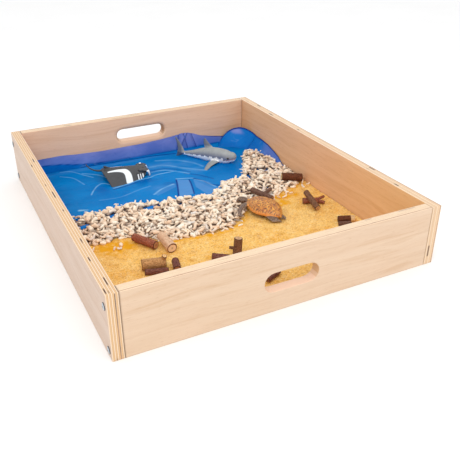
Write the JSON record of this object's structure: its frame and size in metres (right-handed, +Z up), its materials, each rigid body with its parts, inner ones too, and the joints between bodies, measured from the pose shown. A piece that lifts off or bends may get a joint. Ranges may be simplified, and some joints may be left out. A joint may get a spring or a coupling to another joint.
{
  "type": "sand and water table",
  "caption": "Low rectangular plywood play tray with hand holes, holding a blue liner with shallow water, gravel, sand, toy sea animals and loose logs.",
  "frame": {"origin": "centre of the tray's outline, on the surface the tray stands on", "axes": "+Z up, +Y from the front panel to the back panel, +X to the right along the front panel"},
  "size_m": [0.7554, 0.9, 0.144],
  "materials": {
    "plywood": "clear-sealed birch-faced plywood with bare ply edges",
    "base_plywood": "thin sealed plywood",
    "steel": "bright zinc-plated screws",
    "liner": "thin glossy blue vinyl sheet",
    "water": "clear water over the blue sheet",
    "gravel": "dry coral gravel",
    "sand": "fine yellow play sand",
    "ray_plastic": "semi-gloss black and white moulded plastic",
    "shark_plastic": "semi-gloss grey and white moulded plastic",
    "turtle_plastic": "semi-gloss streaked brown moulded plastic",
    "bark": "rough dark bark with sawn ends",
    "red_bark": "rough red-brown bark with sawn ends",
    "tan_bark": "smooth tan bark with sawn ends"
  },
  "bodies": {
    "tray": {"side_panel_left": "plywood", "side_panel_right": "plywood", "front_panel": "plywood", "back_panel": "plywood", "base_panel": "base_plywood", "corner_screw_left_front_low": "steel", "corner_screw_left_front_high": "steel", "corner_screw_left_back_low": "steel", "corner_screw_left_back_high": "steel", "corner_screw_right_front_low": "steel", "corner_screw_right_front_high": "steel", "corner_screw_right_back_low": "steel", "corner_screw_right_back_high": "steel", "base_screw_left_1": "steel", "base_screw_left_2": "steel", "base_screw_left_3": "steel", "base_screw_right_1": "steel", "base_screw_right_2": "steel", "base_screw_right_3": "steel", "base_screw_front_1": "steel", "base_screw_front_2": "steel", "base_screw_front_3": "steel", "base_screw_back_1": "steel", "base_screw_back_2": "steel", "base_screw_back_3": "steel", "liner_sheet": "liner", "water_layer": "water", "gravel_bed": "gravel", "sand_layer": "sand"},
    "manta_ray": {"manta_ray": "ray_plastic"},
    "shark": {"shark": "shark_plastic"},
    "turtle": {"turtle": "turtle_plastic"},
    "log_red": {"log_red": "red_bark"},
    "log_tan": {"log_tan": "tan_bark"},
    "log_ochre": {"log_ochre": "tan_bark"},
    "twig_dark_left": {"twig_dark_left": "red_bark"},
    "log_short_dark": {"log_short_dark": "bark"},
    "log_chip_dark": {"log_chip_dark": "bark"},
    "log_stump": {"log_stump": "bark"},
    "twig_forked": {"twig_forked": "bark"},
    "log_dark_right": {"log_dark_right": "red_bark"},
    "twig_split": {"twig_split": "red_bark"},
    "twig_crossing": {"twig_crossing": "bark"},
    "log_pale_end": {"log_pale_end": "red_bark"},
    "twig_front_right": {"twig_front_right": "bark"},
    "twig_front": {"twig_front": "bark"}
  },
  "joints": [
    {"name": "manta_ray_lift", "type": "slide", "parent": "tray", "child": "manta_ray", "axis": [0, 0, 1], "range_m": [0, 0.15]},
    {"name": "shark_lift", "type": "slide", "parent": "tray", "child": "shark", "axis": [0, 0, 1], "range_m": [0, 0.15]},
    {"name": "turtle_lift", "type": "slide", "parent": "tray", "child": "turtle", "axis": [0, 0, 1], "range_m": [0, 0.15]},
    {"name": "log_red_lift", "type": "slide", "parent": "tray", "child": "log_red", "axis": [0, 0, 1], "range_m": [0, 0.15]},
    {"name": "log_tan_lift", "type": "slide", "parent": "tray", "child": "log_tan", "axis": [0, 0, 1], "range_m": [0, 0.15]},
    {"name": "log_ochre_lift", "type": "slide", "parent": "tray", "child": "log_ochre", "axis": [0, 0, 1], "range_m": [0, 0.15]},
    {"name": "twig_dark_left_lift", "type": "slide", "parent": "tray", "child": "twig_dark_left", "axis": [0, 0, 1], "range_m": [0, 0.15]},
    {"name": "log_short_dark_lift", "type": "slide", "parent": "tray", "child": "log_short_dark", "axis": [0, 0, 1], "range_m": [0, 0.15]},
    {"name": "log_chip_dark_lift", "type": "slide", "parent": "tray", "child": "log_chip_dark", "axis": [0, 0, 1], "range_m": [0, 0.15]},
    {"name": "log_stump_lift", "type": "slide", "parent": "tray", "child": "log_stump", "axis": [0, 0, 1], "range_m": [0, 0.15]},
    {"name": "twig_forked_lift", "type": "slide", "parent": "tray", "child": "twig_forked", "axis": [0, 0, 1], "range_m": [0, 0.15]},
    {"name": "log_dark_right_lift", "type": "slide", "parent": "tray", "child": "log_dark_right", "axis": [0, 0, 1], "range_m": [0, 0.15]},
    {"name": "twig_split_lift", "type": "slide", "parent": "tray", "child": "twig_split", "axis": [0, 0, 1], "range_m": [0, 0.15]},
    {"name": "twig_crossing_lift", "type": "slide", "parent": "twig_split", "child": "twig_crossing", "axis": [0, 0, 1], "range_m": [0, 0.15]},
    {"name": "log_pale_end_lift", "type": "slide", "parent": "tray", "child": "log_pale_end", "axis": [0, 0, 1], "range_m": [0, 0.15]},
    {"name": "twig_front_right_lift", "type": "slide", "parent": "tray", "child": "twig_front_right", "axis": [0, 0, 1], "range_m": [0, 0.15]},
    {"name": "twig_front_lift", "type": "slide", "parent": "tray", "child": "twig_front", "axis": [0, 0, 1], "range_m": [0, 0.15]}
  ]
}
